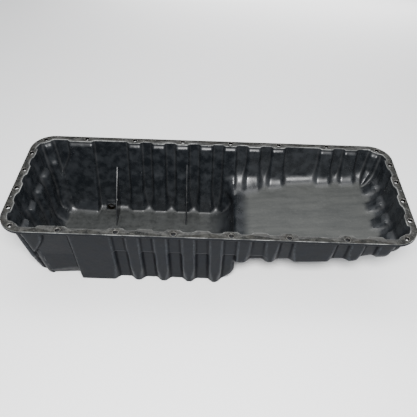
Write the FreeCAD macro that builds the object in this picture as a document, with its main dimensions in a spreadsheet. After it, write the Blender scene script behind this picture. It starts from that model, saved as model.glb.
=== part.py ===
"""Oil pan of a heavy six-cylinder truck engine: a moulded composite tub under a bolted flange.

Frame, in millimetres: X along the engine with the deep well at -X, Y across it, Z up.
The origin is under the middle of the pan, on the flat bottom of the deep well.
"""

import FreeCAD, Part
import math
import os

import Sketcher
from FreeCAD import Placement, Rotation, Vector

doc = FreeCAD.newDocument("oil_pan")

# ---------------------------------------------------------------------------
# Driving dimensions
# ---------------------------------------------------------------------------

DIMENSIONS = {
    # overall size and flange
    "pan_length": 1180,
    "pan_width": 444,
    "pan_height": 272,
    "flange_thick": 10,
    "flange_radius": 72,
    # tub: the inner faces of the outward flutes, at the flange and at the bottom
    "tub_half_length_top": 571,
    "tub_half_width_top": 202.5,
    "tub_radius_top": 54,
    "tub_half_length_low": 527,
    "tub_half_width_low": 162,
    "tub_radius_low": 40,
    "skin": 4,
    # two-level floor, along X
    "well_wall": 80,
    "well_radius": 66,
    "step_radius": 16,
    "shelf_height": 122,
    "shelf_start": 100,
    "shelf_slope": 0.085,
    "shelf_end": 561,
    "end_radius": 42,
    # columns that stand inward between the flutes
    "column_pitch": 80,
    "column_first": -255.4,
    "column_half_width": 26,
    "column_flank": 8,
    "column_skin_shift": 2.7,
    "column_depth_lip": 8,
    "column_depth_mid": 12,
    "column_depth_out": 6,
    "column_depth_ledge": 20,
    "column_depth_step": 16,
    "column_depth_low": 14,
    "ledge_drop": 108,
    "long_column_centre": -434.6,
    "long_column_half_width": 45,
    "end_column_half_width": 30,
    "end_column_depth": 8,
    "corner_column_half_width": 24,
    "corner_column_depth": 10,
    "corner_angle": 56.6,
    # bolt pattern
    "bolt_pitch": 160,
    "bolt_first": -415.4,
    "bolt_rail": 210,
    "bolt_end": 577,
    "bolt_end_near": 42,
    "bolt_end_far": 126,
    "corner_x": 549.6,
    "corner_y": 198,
    "sleeve_bore": 7,
    "sleeve_outer": 9.5,
    "socket_radius": 14.5,
    "socket_radius_low": 12,
    "socket_depth": 34,
    # drain in the back wall
    "drain_x": -352,
    "drain_height": 20,
    "drain_face": 174,
    "drain_inner_face": 148,
    "boss_radius": 18,
    "boss_root": 158,
    "block_half_width": 17,
    "block_base": 1,
    "block_top": 34,
    "block_sunk": 2,
    "insert_radius": 13.5,
    "insert_collar_radius": 15.5,
    "insert_collar_thick": 3,
    "thread_radius": 10,
    "thread_gap": 0.05,
    "plug_shank_length": 21,
    "plug_tip_chamfer": 1.2,
    "plug_flange_radius": 15,
    "plug_flange_thick": 3,
    "plug_across_flats": 24,
    "plug_head_height": 11,
    "washer_radius": 14.5,
    "washer_thick": 2,
    "washer_gap": 0.3,
    "magnet_radius": 5,
    "magnet_length": 9,
    "magnet_proud": 3,
    # surge baffles
    "baffle_thick": 3,
    "baffle_left_x": -322,
    "baffle_right_x": -80,
    "baffle_sunk": 1.5,
    "baffle_left_drop": 97,
    "baffle_left_knee_y": 112,
    "baffle_left_knee_z": 78,
    "baffle_left_foot": 70,
    "baffle_right_drop": 66,
    "baffle_right_foot": 84,
    "rivet_left_y": 124,
    "rivet_left_z": 78,
    "rivet_right_y": 124,
    "rivet_right_z": 76,
    "rivet_radius": 2.4,
    "rivet_head_radius": 4.5,
    "rivet_head_thick": 1.6,
    "tab_thick": 3,
    "tab_margin": 8,
    "tab_half_height": 10,
    "tab_left_end": 176,
    "tab_right_end": 160,
    # how far a cutting shape runs past what it cuts
    "column_clearance": 12,
    "corner_clearance": 16,
    "drill_clearance": 10,
}

sheet = doc.addObject("Spreadsheet::Sheet", "Dimensions")
for row, (alias, value) in enumerate(DIMENSIONS.items(), start=1):
    sheet.set(f"A{row}", alias)
    sheet.set(f"B{row}", str(value))
    sheet.setAlias(f"B{row}", alias)
doc.recompute()


def size(alias):
    """The value of one cell of the sheet."""
    return float(sheet.get(alias))


# ---------------------------------------------------------------------------
# Sketch helpers
# ---------------------------------------------------------------------------


def origin_plane(body, role):
    """One of the body's own origin planes, such as XY_Plane."""
    return next(f for f in body.Origin.OriginFeatures if f.Role == role)


def new_body(name):
    body = doc.addObject("PartDesign::Body", name)
    body.Label = name
    return body


def new_sketch(body, name, role="XY_Plane", height=None):
    """A sketch on one of the body's planes, lifted by an expression in the sheet's names."""
    sketch = body.newObject("Sketcher::SketchObject", name)
    sketch.AttachmentSupport = (origin_plane(body, role), "")
    sketch.MapMode = "FlatFace"
    if height is not None:
        sketch.setExpression("AttachmentOffset.Base.z", height)
    return sketch


def named(expression):
    """Turns bare names into cells of the sheet."""
    words = sorted(DIMENSIONS, key=len, reverse=True)
    pieces = {}
    for index, word in enumerate(words):
        if word in expression:
            mark = f"@{index}@"
            expression = expression.replace(word, mark)
            pieces[mark] = f"Dimensions.{word}"
    for mark, cell in pieces.items():
        expression = expression.replace(mark, cell)
    return expression


def value_of(expression):
    """The number that an expression in the sheet's names stands for."""
    probe = doc.getObject("Probe") or doc.addObject("App::FeaturePython", "Probe")
    if "Number" not in probe.PropertiesList:
        probe.addProperty("App::PropertyFloat", "Number")
    probe.setExpression("Number", named(expression))
    probe.recompute()
    return probe.Number


def bind_point(sketch, geometry, position, x, y, label):
    """Fixes a sketch point at x, y, each an expression in the sheet's names."""
    for axis, expression in (("X", x), ("Y", y)):
        number = value_of(expression)
        index = sketch.addConstraint(
            Sketcher.Constraint(f"Distance{axis}", -1, 1, geometry, position, number)
        )
        sketch.renameConstraint(index, f"{label}_{axis.lower()}")
        sketch.setExpression(f"Constraints.{label}_{axis.lower()}", named(expression))


def polygon(sketch, corners):
    """A closed outline of straight edges whose corners are expressions."""
    points = [Vector(value_of(x), value_of(y), 0) for x, y in corners]
    first = sketch.GeometryCount
    for index, point in enumerate(points):
        sketch.addGeometry(Part.LineSegment(point, points[(index + 1) % len(points)]), False)
    for index in range(len(points)):
        following = first + (index + 1) % len(points)
        sketch.addConstraint(Sketcher.Constraint("Coincident", first + index, 2, following, 1))
    for index, (x, y) in enumerate(corners):
        bind_point(sketch, first + index, 1, x, y, f"corner_{first + index}")


def circle(sketch, x, y, radius):
    centre = Vector(value_of(x), value_of(y), 0)
    index = sketch.addGeometry(Part.Circle(centre, Vector(0, 0, 1), value_of(radius)), False)
    bind_point(sketch, index, 3, x, y, f"centre_{index}")
    constraint = sketch.addConstraint(Sketcher.Constraint("Radius", index, value_of(radius)))
    sketch.renameConstraint(constraint, f"radius_{index}")
    sketch.setExpression(f"Constraints.radius_{index}", named(radius))


def bind_radius(sketch, arc, radius):
    constraint = sketch.addConstraint(Sketcher.Constraint("Radius", arc, value_of(radius)))
    sketch.renameConstraint(constraint, f"radius_{arc}")
    sketch.setExpression(f"Constraints.radius_{arc}", named(radius))


def rounded_rectangle(sketch, half_length, half_width, radius):
    """A rectangle about the origin with four round corners."""
    a, b, r = (value_of(e) for e in (half_length, half_width, radius))
    centres = [(a - r, b - r), (r - a, b - r), (r - a, r - b), (a - r, r - b)]
    quarter = math.pi / 2
    for index, (x, y) in enumerate(centres):
        ring = Part.Circle(Vector(x, y, 0), Vector(0, 0, 1), r)
        turn = (index + 1) * quarter
        sketch.addGeometry(Part.ArcOfCircle(ring, turn - quarter, turn), False)
        offset = Vector(r * math.cos(turn), r * math.sin(turn), 0)
        next_centre = Vector(*centres[(index + 1) % 4], 0)
        sketch.addGeometry(Part.LineSegment(Vector(x, y, 0) + offset, next_centre + offset), False)
    for index, (x, y) in enumerate(centres):
        arc, line, following = 2 * index, 2 * index + 1, (2 * index + 2) % 8
        sketch.addConstraint(Sketcher.Constraint("Tangent", arc, 2, line, 1))
        sketch.addConstraint(Sketcher.Constraint("Tangent", line, 2, following, 1))
        along = f"({half_length} - {radius})"
        across = f"({half_width} - {radius})"
        bind_point(
            sketch,
            arc,
            3,
            along if x > 0 else f"-{along}",
            across if y > 0 else f"-{across}",
            f"corner_{arc}",
        )
    bind_radius(sketch, 0, radius)


# ---------------------------------------------------------------------------
# Features
# ---------------------------------------------------------------------------


def loft(body, kind, name, sections):
    """AdditiveLoft or SubtractiveLoft through sketches, lowest or highest first."""
    feature = body.newObject(f"PartDesign::{kind}Loft", name)
    feature.Profile = sections[0]
    feature.Sections = sections[1:]
    feature.Ruled = True
    body.Tip = feature
    return feature


def pad(body, sketch, name, length, reverse=False, midplane=False):
    feature = body.newObject("PartDesign::Pad", name)
    feature.Profile = sketch
    feature.setExpression("Length", named(length))
    feature.Reversed = reverse
    feature.Midplane = midplane
    body.Tip = feature
    return feature


def pocket_through(body, sketch, name):
    """A pocket that runs through the whole body on both sides of the sketch."""
    feature = body.newObject("PartDesign::Pocket", name)
    feature.Profile = sketch
    feature.Type = "ThroughAll"
    feature.Midplane = True
    body.Tip = feature
    return feature


def mirrored(body, originals, name, role):
    feature = body.newObject("PartDesign::Mirrored", name)
    feature.Originals = originals
    feature.MirrorPlane = (origin_plane(body, role), [""])
    body.Tip = feature
    return feature


# ---------------------------------------------------------------------------
# The tub's two forms: its inside and its outside
# ---------------------------------------------------------------------------

TOP = "pan_height"
UNDER_FLANGE = "(pan_height - flange_thick)"
LEDGE = "(pan_height - ledge_drop)"
BOTTOM = "0"


def tapered(top, low, height):
    """A tub dimension at a height, between its values at the flange and at the bottom."""
    return f"({low} + ({top} - {low}) * {height} / pan_height)"


def half_width(height):
    return tapered("tub_half_width_top", "tub_half_width_low", height)


def half_length(height):
    return tapered("tub_half_length_top", "tub_half_length_low", height)


def corner_radius(height):
    return tapered("tub_radius_top", "tub_radius_low", height)


def floor_profile(body, extra):
    """The outline of all that lies under the two-level floor.

    extra is 0 for the inside form and the skin for the outside one.
    """
    sketch = new_sketch(body, f"{body.Label}_floor", "XZ_Plane")
    drop = value_of(extra)
    skin = size("skin")
    floor = skin - drop
    wall = size("well_wall") + drop
    bend = size("well_radius") + drop
    roll = size("step_radius") - drop
    slope = size("shelf_slope")
    end = size("shelf_end") + drop
    end_bend = size("end_radius") + drop
    lean = math.hypot(1, slope)

    def shelf(x):
        return size("shelf_height") + skin + slope * (x - size("shelf_start")) - drop * lean

    roll_x, roll_z = wall + roll, shelf(wall + roll) - roll * lean
    end_x, end_z = end - end_bend, shelf(end - end_bend) + end_bend * lean
    tilt = math.atan(slope)
    quarter = math.pi / 2
    # These three reach past the tub on every side.
    far, high, deep = 700, 400, -60

    def arc(x, z, radius, start, finish):
        ring = Part.Circle(Vector(x, z, 0), Vector(0, 0, 1), radius)
        return Part.ArcOfCircle(ring, start, finish)

    def line(x1, z1, x2, z2):
        return Part.LineSegment(Vector(x1, z1, 0), Vector(x2, z2, 0))

    def on_shelf(x, z, radius, side):
        return (x - side * radius * math.sin(tilt), z + side * radius * math.cos(tilt))

    shelf_first = on_shelf(roll_x, roll_z, roll, 1)
    shelf_last = on_shelf(end_x, end_z, end_bend, -1)
    outline = [
        line(-far, floor, wall - bend, floor),
        arc(wall - bend, floor + bend, bend, 3 * quarter, 4 * quarter),
        line(wall, floor + bend, wall, roll_z),
        arc(roll_x, roll_z, roll, quarter + tilt, 2 * quarter),
        line(*shelf_first, *shelf_last),
        arc(end_x, end_z, end_bend, 3 * quarter + tilt, 4 * quarter),
        line(end, end_z, far, high),
        line(far, high, far, deep),
        line(far, deep, -far, deep),
        line(-far, deep, -far, floor),
    ]
    sketch.addGeometry(outline, False)
    # Each join takes an edge's end, 2, to the next edge's start, 1. The roll's arc runs backwards.
    joins = [
        ("Tangent", 0, 2, 1, 1),
        ("Tangent", 1, 2, 2, 1),
        ("Tangent", 2, 2, 3, 2),
        ("Tangent", 3, 1, 4, 1),
        ("Tangent", 4, 2, 5, 1),
        ("Coincident", 5, 2, 6, 1),
        ("Coincident", 6, 2, 7, 1),
        ("Coincident", 7, 2, 8, 1),
        ("Coincident", 8, 2, 9, 1),
        ("Coincident", 9, 2, 0, 1),
    ]
    for join in joins:
        sketch.addConstraint(Sketcher.Constraint(*join))
    bind_radius(sketch, 1, f"(well_radius + {extra})")
    bind_radius(sketch, 3, f"(step_radius - {extra})")
    bind_radius(sketch, 5, f"(end_radius + {extra})")
    bind_point(sketch, 1, 3, "(well_wall - well_radius)", "(skin + well_radius)", "bend")
    return sketch


def column_outline(sketch, centre, wall, depth, extra, base, outward):
    """A column's section at one height: a flat between two slanted flanks.

    wall is the flute surface and depth is how far the flat stands inward of it. outward is how
    far the outline reaches past the wall, which clears it.
    """
    shift = f"(column_skin_shift * {extra} / skin)"
    foot = f"({base} - {shift})"
    flat = f"({base} - column_flank - {shift})"
    corners = [
        (f"({centre} - {foot})", f"({wall} + {outward})"),
        (f"({centre} - {foot})", f"{wall}"),
        (f"({centre} - {flat})", f"({wall} - {depth})"),
        (f"({centre} + {flat})", f"({wall} - {depth})"),
        (f"({centre} + {foot})", f"{wall}"),
        (f"({centre} + {foot})", f"({wall} + {outward})"),
    ]
    polygon(sketch, corners)


def column(body, name, extra, centre, base, stages, plane_turn=0):
    """Cuts one column out of a form, from the flange to the bottom, in lofted stages.

    Each stage is (upper height, its depth, lower height, its depth). plane_turn is 0 for the long
    walls, where centre runs along X, and 90 for the end walls, where it runs along Y.
    """
    features = []
    for number, (upper, upper_depth, lower, lower_depth) in enumerate(stages):
        sections = []
        for height, depth in ((upper, upper_depth), (lower, lower_depth)):
            sketch = new_sketch(body, f"{name}_{number}_{len(sections)}", height=named(height))
            if plane_turn:
                wall = f"({half_length(height)} + {extra})"
                place = f"({centre} * {half_width(height)} / tub_half_width_top)"
                sketch.AttachmentOffset = Placement(Vector(), Rotation(Vector(0, 0, 1), -plane_turn))
                sketch.setExpression("AttachmentOffset.Base.z", named(height))
            else:
                wall = f"({half_width(height)} + {extra})"
                place = centre
            column_outline(sketch, place, wall, depth, extra, base, "column_clearance")
            sections.append(sketch)
        features.append(loft(body, "Subtractive", f"{name}_{number}_cut", sections))
    return features


def multi_transform(body, originals, name, transformations):
    feature = body.newObject("PartDesign::MultiTransform", name)
    feature.Originals = originals
    feature.Transformations = transformations
    body.Tip = feature
    return feature


def linear_step(body, name, role, length, occurrences):
    step = body.newObject("PartDesign::LinearPattern", name)
    step.Direction = (origin_plane(body, role), [""])
    step.setExpression("Length", named(length))
    step.Occurrences = occurrences
    return step


def mirror_step(body, name, role):
    step = body.newObject("PartDesign::Mirrored", name)
    step.MirrorPlane = (origin_plane(body, role), [""])
    return step


def tub_form(name, extra):
    """The tub as a solid, with its floors and its columns: the inside, or the outside."""
    body = new_body(name)
    inside = extra == "0"
    sections = []
    for height in (BOTTOM, TOP):
        sketch = new_sketch(body, f"{name}_plan_{len(sections)}", height=named(height))
        rounded_rectangle(
            sketch,
            f"({half_length(height)} + {extra})",
            f"({half_width(height)} + {extra})",
            f"({corner_radius(height)} + {extra})",
        )
        sections.append(sketch)
    loft(body, "Additive", f"{name}_hull", sections)
    doc.recompute()
    pocket_through(body, floor_profile(body, extra), f"{name}_floor_cut")
    doc.recompute()

    start = TOP if inside else UNDER_FLANGE
    first = "column_depth_lip" if inside else "column_depth_out"
    above = "column_depth_mid" if inside else "column_depth_out"
    below = "column_depth_ledge" if inside else "column_depth_step"
    # The outside ledge lies a skin lower, so that the wall keeps its thickness there.
    ledge = LEDGE if inside else f"({LEDGE} - skin)"
    stages = [(start, first, ledge, above), (ledge, below, BOTTOM, "column_depth_low")]
    plain = [(start, first, BOTTOM, "column_depth_low")]
    ends = [(start, "end_column_depth", BOTTOM, "end_column_depth")]

    cuts = column(body, f"{name}_column", extra, "column_first", "column_half_width", stages)
    doc.recompute()
    steps = [
        linear_step(body, f"{name}_row", "X_Axis", "5 * column_pitch", 6),
        mirror_step(body, f"{name}_across", "XZ_Plane"),
    ]
    multi_transform(body, cuts, f"{name}_columns", steps)
    doc.recompute()
    cuts = []
    for step in (6, 8, 9):
        centre = f"(column_first + {step} * column_pitch)"
        cuts += column(body, f"{name}_rear_{step}", extra, centre, "column_half_width", plain)
    doc.recompute()
    mirrored(body, cuts, f"{name}_rear_columns", "XZ_Plane")
    doc.recompute()
    cuts = column(body, f"{name}_long", extra, "long_column_centre", "long_column_half_width", plain)
    doc.recompute()
    mirrored(body, cuts, f"{name}_long_pair", "XZ_Plane")
    doc.recompute()
    cuts = []
    for number, centre in enumerate(("bolt_end_near", "bolt_end_far")):
        cuts += column(
            body, f"{name}_end_{number}", extra, centre, "end_column_half_width", ends, plane_turn=90
        )
    cuts.append(corner_column(body, f"{name}_corner", extra, start))
    doc.recompute()
    steps = [
        mirror_step(body, f"{name}_end_across", "XZ_Plane"),
        mirror_step(body, f"{name}_end_along", "YZ_Plane"),
    ]
    multi_transform(body, cuts, f"{name}_end_columns", steps)
    doc.recompute()
    return body


def corner_column(body, name, extra, start):
    """Cuts the column that stands round one corner bolt, square to the corner's own radius."""
    sections = []
    for height in (start, BOTTOM):
        sketch = new_sketch(body, f"{name}_{len(sections)}")
        turn = Rotation(Vector(0, 0, 1), size("corner_angle") - 90)
        sketch.AttachmentOffset = Placement(Vector(), turn)
        radius = corner_radius(height)
        sketch.setExpression("AttachmentOffset.Base.x", named(f"{half_length(height)} - {radius}"))
        sketch.setExpression("AttachmentOffset.Base.y", named(f"{half_width(height)} - {radius}"))
        sketch.setExpression("AttachmentOffset.Base.z", named(height))
        column_outline(
            sketch,
            "0",
            f"({radius} + {extra})",
            "corner_column_depth",
            extra,
            "corner_column_half_width",
            "corner_clearance",
        )
        sections.append(sketch)
    return loft(body, "Subtractive", f"{name}_cut", sections)


# ---------------------------------------------------------------------------
# Bolt places: (x, y) expressions for the rails, the ends and the corners
# ---------------------------------------------------------------------------

RAIL_PLACES = [
    (f"(bolt_first + {step} * bolt_pitch)", rail)
    for rail in ("-bolt_rail", "bolt_rail")
    for step in range(6)
]
END_PLACES = [
    (end, across)
    for end in ("-bolt_end", "bolt_end")
    for across in ("-bolt_end_far", "-bolt_end_near", "bolt_end_near", "bolt_end_far")
]
CORNER_PLACES = [(x, y) for x in ("-corner_x", "corner_x") for y in ("-corner_y", "corner_y")]
BOLT_PLACES = RAIL_PLACES + END_PLACES + CORNER_PLACES


def round_bar(name, radius, length, at, axis="Z", top_radius=None):
    """A cylinder or a cone from the point at, along Z or along Y."""
    kind = "Part::Cylinder" if top_radius is None else "Part::Cone"
    bar = doc.addObject(kind, name)
    if top_radius is None:
        bar.setExpression("Radius", named(radius))
    else:
        bar.setExpression("Radius1", named(radius))
        bar.setExpression("Radius2", named(top_radius))
    bar.setExpression("Height", named(length))
    if axis == "Y":
        bar.Placement = Placement(Vector(), Rotation(Vector(1, 0, 0), -90))
    for letter, expression in zip("xyz", at):
        bar.setExpression(f"Placement.Base.{letter}", named(expression))
    return bar


def block(name, corner, lengths):
    """A box from its lowest corner."""
    box = doc.addObject("Part::Box", name)
    for side, expression in zip(("Length", "Width", "Height"), lengths):
        box.setExpression(side, named(expression))
    for letter, expression in zip("xyz", corner):
        box.setExpression(f"Placement.Base.{letter}", named(expression))
    return box


def fuse(name, shapes):
    union = doc.addObject("Part::MultiFuse", name)
    union.Shapes = shapes
    return union


def cut(name, base, tool):
    difference = doc.addObject("Part::Cut", name)
    difference.Base = base
    difference.Tool = tool
    return difference


# ---------------------------------------------------------------------------
# Pan shell
# ---------------------------------------------------------------------------


def flange_plate():
    body = new_body("flange_plate")
    sketch = new_sketch(body, "flange_plan", height=named(UNDER_FLANGE))
    rounded_rectangle(sketch, "(pan_length / 2)", "(pan_width / 2)", "flange_radius")
    pad(body, sketch, "flange_pad", "flange_thick")
    return body


BAFFLES = {
    side: {
        "x": f"baffle_{side}_x",
        "rivet_y": f"rivet_{side}_y",
        "rivet_z": f"rivet_{side}_z",
        "tab_end": f"tab_{side}_end",
    }
    for side in ("left", "right")
}


def baffle_tab(side):
    """The moulded tab on the wall that the baffle is riveted to, on the side away from the shelf."""
    place = BAFFLES[side]
    reach = f"({place['rivet_y']} - tab_margin)"
    low = f"({place['rivet_z']} - tab_half_height)"
    return block(
        f"{side}_baffle_tab",
        (f"({place['x']} - baffle_thick / 2 - tab_thick)", reach, low),
        ("tab_thick", f"({place['tab_end']} - {reach})", "(2 * tab_half_height)"),
    )


def drain_block():
    """The thick block inside the wall that holds the insert. Its back is sunk into the leaning wall."""
    body = new_body("drain_block")
    sketch = new_sketch(body, "drain_block_side", "YZ_Plane", height=named("drain_x"))
    polygon(
        sketch,
        [
            ("drain_inner_face", "block_base"),
            (f"({half_width('block_base')} + block_sunk)", "block_base"),
            (f"({half_width('block_top')} + block_sunk)", "block_top"),
            ("drain_inner_face", "block_top"),
        ],
    )
    pad(body, sketch, "drain_block_pad", "(2 * block_half_width)", midplane=True)
    return body


def pan_shell():
    outside = tub_form("outside_form", "skin")
    inside = tub_form("inside_form", "0")
    blank = fuse("shell_blank", [outside, flange_plate()])
    hollow = cut("shell_hollow", blank, inside)
    additions = [
        drain_block(),
        round_bar(
            "drain_boss",
            "boss_radius",
            "(drain_face - boss_root)",
            ("drain_x", "boss_root", "drain_height"),
            "Y",
        ),
        baffle_tab("left"),
        baffle_tab("right"),
    ]
    fitted = fuse("shell_fitted", [hollow, *additions])
    drills = [
        round_bar(
            f"sleeve_drill_{number:02d}",
            "sleeve_outer",
            "(flange_thick + drill_clearance)",
            (x, y, UNDER_FLANGE),
        )
        for number, (x, y) in enumerate(BOLT_PLACES, start=1)
    ]
    drills += [
        round_bar(
            f"socket_pocket_{number:02d}",
            "socket_radius_low",
            "socket_depth",
            (x, y, f"({UNDER_FLANGE} - socket_depth)"),
            top_radius="socket_radius",
        )
        for number, (x, y) in enumerate(RAIL_PLACES, start=1)
    ]
    drills.append(
        round_bar(
            "insert_bore",
            "insert_radius",
            "(drain_face - drain_inner_face + 2 * drill_clearance)",
            ("drain_x", "(drain_inner_face - drill_clearance)", "drain_height"),
            "Y",
        )
    )
    drills.append(
        round_bar(
            "collar_bore",
            "insert_collar_radius",
            "(insert_collar_thick + drill_clearance)",
            ("drain_x", "(drain_face - insert_collar_thick)", "drain_height"),
            "Y",
        )
    )
    for side, place in BAFFLES.items():
        name = f"{side}_rivet_drill"
        drills.append(rivet_bar(name, place, "rivet_radius", "-drill_clearance", "(2 * drill_clearance)"))
    shell = cut("pan_shell", fitted, fuse("shell_drilling", drills))
    shell.Label = "pan_shell"
    return shell


def rivet_bar(name, place, radius, start, length):
    """A round bar along X through a baffle and its tab, from start beside the baffle's middle."""
    bar = doc.addObject("Part::Cylinder", name)
    bar.setExpression("Radius", named(radius))
    bar.setExpression("Height", named(length))
    bar.Placement = Placement(Vector(), Rotation(Vector(0, 1, 0), 90))
    bar.setExpression("Placement.Base.x", named(f"({place['x']} + {start})"))
    bar.setExpression("Placement.Base.y", named(place["rivet_y"]))
    bar.setExpression("Placement.Base.z", named(place["rivet_z"]))
    return bar


# ---------------------------------------------------------------------------
# Steel sleeves in the flange
# ---------------------------------------------------------------------------


def bolt_sleeve(number, x, y):
    body = new_body(f"bolt_sleeve_{number:02d}")
    sketch = new_sketch(body, f"sleeve_{number:02d}_ring", height=named(UNDER_FLANGE))
    circle(sketch, x, y, "sleeve_outer")
    circle(sketch, x, y, "sleeve_bore")
    pad(body, sketch, f"sleeve_{number:02d}_pad", "flange_thick")
    return body


# ---------------------------------------------------------------------------
# Drain: threaded insert, washer, plug and magnet, all on one axis along Y
# ---------------------------------------------------------------------------


def turned(name, profile):
    """A body turned about the drain's axis from corners given as (radius, y) expressions."""
    body = new_body(name)
    sketch = new_sketch(body, f"{name}_profile")
    sketch.setExpression("AttachmentOffset.Base.z", named("drain_height"))
    polygon(sketch, [(f"(drain_x + {radius})", y) for radius, y in profile])
    axis = new_sketch(body, f"{name}_axis")
    axis.setExpression("AttachmentOffset.Base.z", named("drain_height"))
    start = Vector(size("drain_x"), 0, 0)
    axis.addGeometry(Part.LineSegment(start, start + Vector(0, 100, 0)), False)
    bind_point(axis, 0, 1, "drain_x", "0", "start")
    bind_point(axis, 0, 2, "drain_x", "100", "finish")
    feature = body.newObject("PartDesign::Revolution", f"{name}_turning")
    feature.Profile = sketch
    feature.ReferenceAxis = (axis, ["Edge1"])
    feature.Angle = 360
    body.Tip = feature
    doc.recompute()
    return body


def drain_insert():
    bore = "(thread_radius + thread_gap)"
    collar = "(drain_face - insert_collar_thick)"
    return turned(
        "drain_insert",
        [
            (bore, "drain_inner_face"),
            ("insert_radius", "drain_inner_face"),
            ("insert_radius", collar),
            ("insert_collar_radius", collar),
            ("insert_collar_radius", "drain_face"),
            (bore, "drain_face"),
        ],
    )


def drain_washer():
    bore = "(thread_radius + washer_gap)"
    outer_face = "(drain_face + washer_thick)"
    return turned(
        "drain_washer",
        [
            (bore, "drain_face"),
            ("washer_radius", "drain_face"),
            ("washer_radius", outer_face),
            (bore, outer_face),
        ],
    )


def drain_plug():
    seat = "(drain_face + washer_thick)"
    tip = f"({seat} - plug_shank_length)"
    pit = f"({tip} + magnet_length - magnet_proud)"
    collar = f"({seat} + plug_flange_thick)"
    body = turned(
        "drain_plug",
        [
            ("magnet_radius", tip),
            ("(thread_radius - plug_tip_chamfer)", tip),
            ("thread_radius", f"({tip} + plug_tip_chamfer)"),
            ("thread_radius", seat),
            ("plug_flange_radius", seat),
            ("plug_flange_radius", collar),
            ("0", collar),
            ("0", pit),
            ("magnet_radius", pit),
        ],
    )
    sketch = new_sketch(body, "plug_hexagon", "XZ_Plane")
    # The plane's normal is -Y, so a height along +Y is negative.
    sketch.setExpression("AttachmentOffset.Base.z", named(f"-{collar}"))
    corner = "(plug_across_flats / 2 / cos(30 deg))"
    hexagon = [
        (
            f"(drain_x + {corner} * cos({60 * step} deg))",
            f"(drain_height + {corner} * sin({60 * step} deg))",
        )
        for step in range(6)
    ]
    polygon(sketch, hexagon)
    pad(body, sketch, "plug_head", "plug_head_height", reverse=True)
    return body


def plug_magnet():
    tip = "(drain_face + washer_thick - plug_shank_length)"
    start = f"({tip} - magnet_proud)"
    magnet = round_bar(
        "plug_magnet", "magnet_radius", "magnet_length", ("drain_x", start, "drain_height"), "Y"
    )
    magnet.Label = "plug_magnet"
    return magnet


# ---------------------------------------------------------------------------
# Surge baffles and their rivets
# ---------------------------------------------------------------------------


def baffle(side, outline):
    """A thin plate across the well whose edges are pressed into the wall and the floor."""
    place = BAFFLES[side]
    body = new_body(f"surge_baffle_{side}")
    sketch = new_sketch(body, f"{side}_baffle_outline", "YZ_Plane", height=named(place["x"]))
    polygon(sketch, outline)
    circle(sketch, place["rivet_y"], place["rivet_z"], "rivet_radius")
    pad(body, sketch, f"{side}_baffle_plate", "baffle_thick", midplane=True)
    return body


def surge_baffles():
    """The left plate meets a flat panel. The right one meets a column, so it follows its ledge."""
    sunk = "baffle_sunk"
    foot_height = f"(skin - {sunk})"
    left_top = "(pan_height - baffle_left_drop)"
    right_top = "(pan_height - baffle_right_drop)"

    def face(height, depth):
        return f"({half_width(height)} - {depth} + {sunk})"

    left = baffle(
        "left",
        [
            ("baffle_left_foot", foot_height),
            (face(foot_height, "0"), foot_height),
            (face(left_top, "0"), left_top),
            ("baffle_left_knee_y", "baffle_left_knee_z"),
        ],
    )
    right = baffle(
        "right",
        [
            ("baffle_right_foot", foot_height),
            (face(foot_height, "column_depth_low"), foot_height),
            (face(LEDGE, "column_depth_ledge"), LEDGE),
            (face(LEDGE, "column_depth_mid"), LEDGE),
            (face(right_top, "column_depth_mid"), right_top),
        ],
    )
    return [left, right]


def baffle_rivet(side):
    """A solid rivet with a flat head on the baffle and another on the tab."""
    place = BAFFLES[side]
    grip = "(baffle_thick + tab_thick)"
    near = "(0 - baffle_thick / 2 - tab_thick)"
    shank = rivet_bar(f"{side}_rivet_shank", place, "rivet_radius", near, grip)
    heads = []
    for end, start in (("tab", f"({near} - rivet_head_thick)"), ("plate", "(baffle_thick / 2)")):
        name = f"{side}_rivet_{end}_head"
        heads.append(rivet_bar(name, place, "rivet_head_radius", start, "rivet_head_thick"))
    rivet = fuse(f"baffle_rivet_{side}", [shank, *heads])
    rivet.Label = f"baffle_rivet_{side}"
    return rivet


# ---------------------------------------------------------------------------
# Build, check and write
# ---------------------------------------------------------------------------

parts = [pan_shell()]
parts += [bolt_sleeve(number, x, y) for number, (x, y) in enumerate(BOLT_PLACES, start=1)]
parts += [drain_insert(), drain_washer(), drain_plug(), plug_magnet()]
parts += surge_baffles()
parts += [baffle_rivet("left"), baffle_rivet("right")]

doc.removeObject("Probe")
doc.recompute()

for item in doc.Objects:
    if "Invalid" in item.State or "Error" in item.State:
        raise RuntimeError(f"{item.Name} failed: {item.State}")

os.makedirs("parts", exist_ok=True)
for part in parts:
    if part.Shape.isNull() or not part.Shape.isValid():
        raise RuntimeError(f"{part.Label} has no valid shape")
    part.Shape.exportStep(f"parts/{part.Label}.step")
    print(f"{part.Label}: {len(part.Shape.Solids)} solid, {part.Shape.Volume / 1000:.2f} cm3")
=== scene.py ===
"""The looks of a truck engine's oil pan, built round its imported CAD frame.

The moulded shell is a mesh by formula: a field for the tub's inside, another for its outside, each
turned to a surface on a grid, and a flange between them. Lengths of the shell are millimetres.
"""

import math

import bmesh
import bpy
import numpy as np
from mathutils import Matrix, Vector
from mathutils.geometry import delaunay_2d_cdt


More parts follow.
